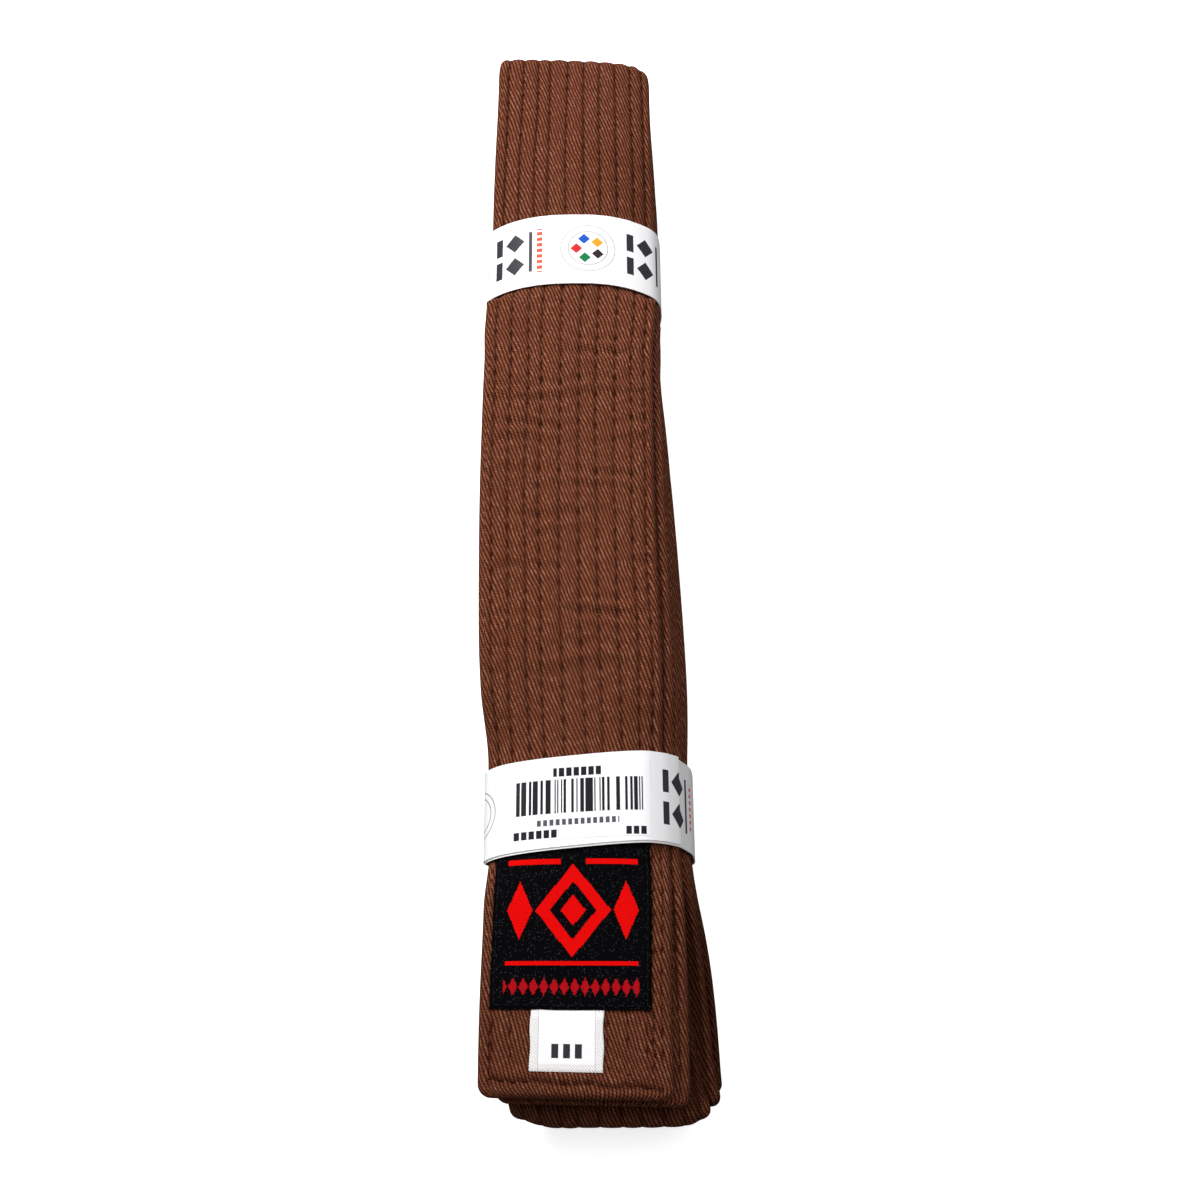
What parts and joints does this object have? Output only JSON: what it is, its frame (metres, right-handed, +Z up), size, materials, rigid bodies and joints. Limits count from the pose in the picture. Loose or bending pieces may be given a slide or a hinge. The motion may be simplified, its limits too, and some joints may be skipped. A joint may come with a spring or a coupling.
{
  "type": "martial arts belt",
  "caption": "Brown stitched cotton martial arts belt, folded into a flat bundle and held by paper bands, with a woven patch and size tab on its label end.",
  "frame": {"origin": "centre of the bounding box on the table that the bundle lies on", "axes": "+Z up out of the stack, +Y along the belt from its open (label) end to its main fold, +X across the belt"},
  "size_m": [0.0554, 0.3074, 0.0322],
  "materials": {
    "belt_cloth": "matte",
    "core_cloth": "matte",
    "belt_thread": "satin",
    "patch_cloth": "matte",
    "patch_thread": "satin",
    "tab_ribbon": "satin",
    "band_paper": "matte",
    "sticker_paper": "satin",
    "glue": "satin"
  },
  "bodies": {
    "bundle": {"belt_cover": "belt_cloth", "belt_core_face": "core_cloth", "belt_core_back": "core_cloth", "stitch_row_01": "belt_thread", "stitch_row_02": "belt_thread", "stitch_row_03": "belt_thread", "stitch_row_04": "belt_thread", "stitch_row_05": "belt_thread", "stitch_row_06": "belt_thread", "stitch_row_07": "belt_thread", "stitch_row_08": "belt_thread", "stitch_row_09": "belt_thread", "stitch_row_10": "belt_thread", "tail_hem_stitch": "belt_thread"},
    "label_end": {"label_end_cover": "belt_cloth", "label_end_core_face": "core_cloth", "label_end_core_back": "core_cloth", "label_end_row_01": "belt_thread", "label_end_row_02": "belt_thread", "label_end_row_03": "belt_thread", "label_end_row_04": "belt_thread", "label_end_row_05": "belt_thread", "label_end_row_06": "belt_thread", "label_end_row_07": "belt_thread", "label_end_row_08": "belt_thread", "label_end_row_09": "belt_thread", "label_end_row_10": "belt_thread", "label_hem_stitch": "belt_thread", "patch": "patch_cloth", "patch_stitch": "patch_thread"},
    "tab": {"size_tab": "tab_ribbon"},
    "near_paper": {"near_band": "band_paper", "near_band_glue": "glue", "near_band_sticker": "sticker_paper"},
    "far_paper": {"far_band": "band_paper", "far_band_glue": "glue"}
  },
  "joints": [
    {"name": "label_end_bend", "type": "hinge", "parent": "bundle", "child": "label_end", "pos_m": [-0.00438, -0.09268, 0.0303], "axis": [-1, 0, 0], "range_deg": [0, 70]},
    {"name": "size_tab_flip", "type": "hinge", "parent": "label_end", "child": "tab", "pos_m": [-0.00628, -0.12948, 0.03105], "axis": [-1, 0, 0], "range_deg": [0, 120]},
    {"name": "near_band_slide", "type": "slide", "parent": "bundle", "child": "near_paper", "axis": [0, -1, 0], "range_m": [0, 0.1]},
    {"name": "far_band_slide", "type": "slide", "parent": "bundle", "child": "far_paper", "axis": [0, 1, 0], "range_m": [0, 0.085]}
  ]
}
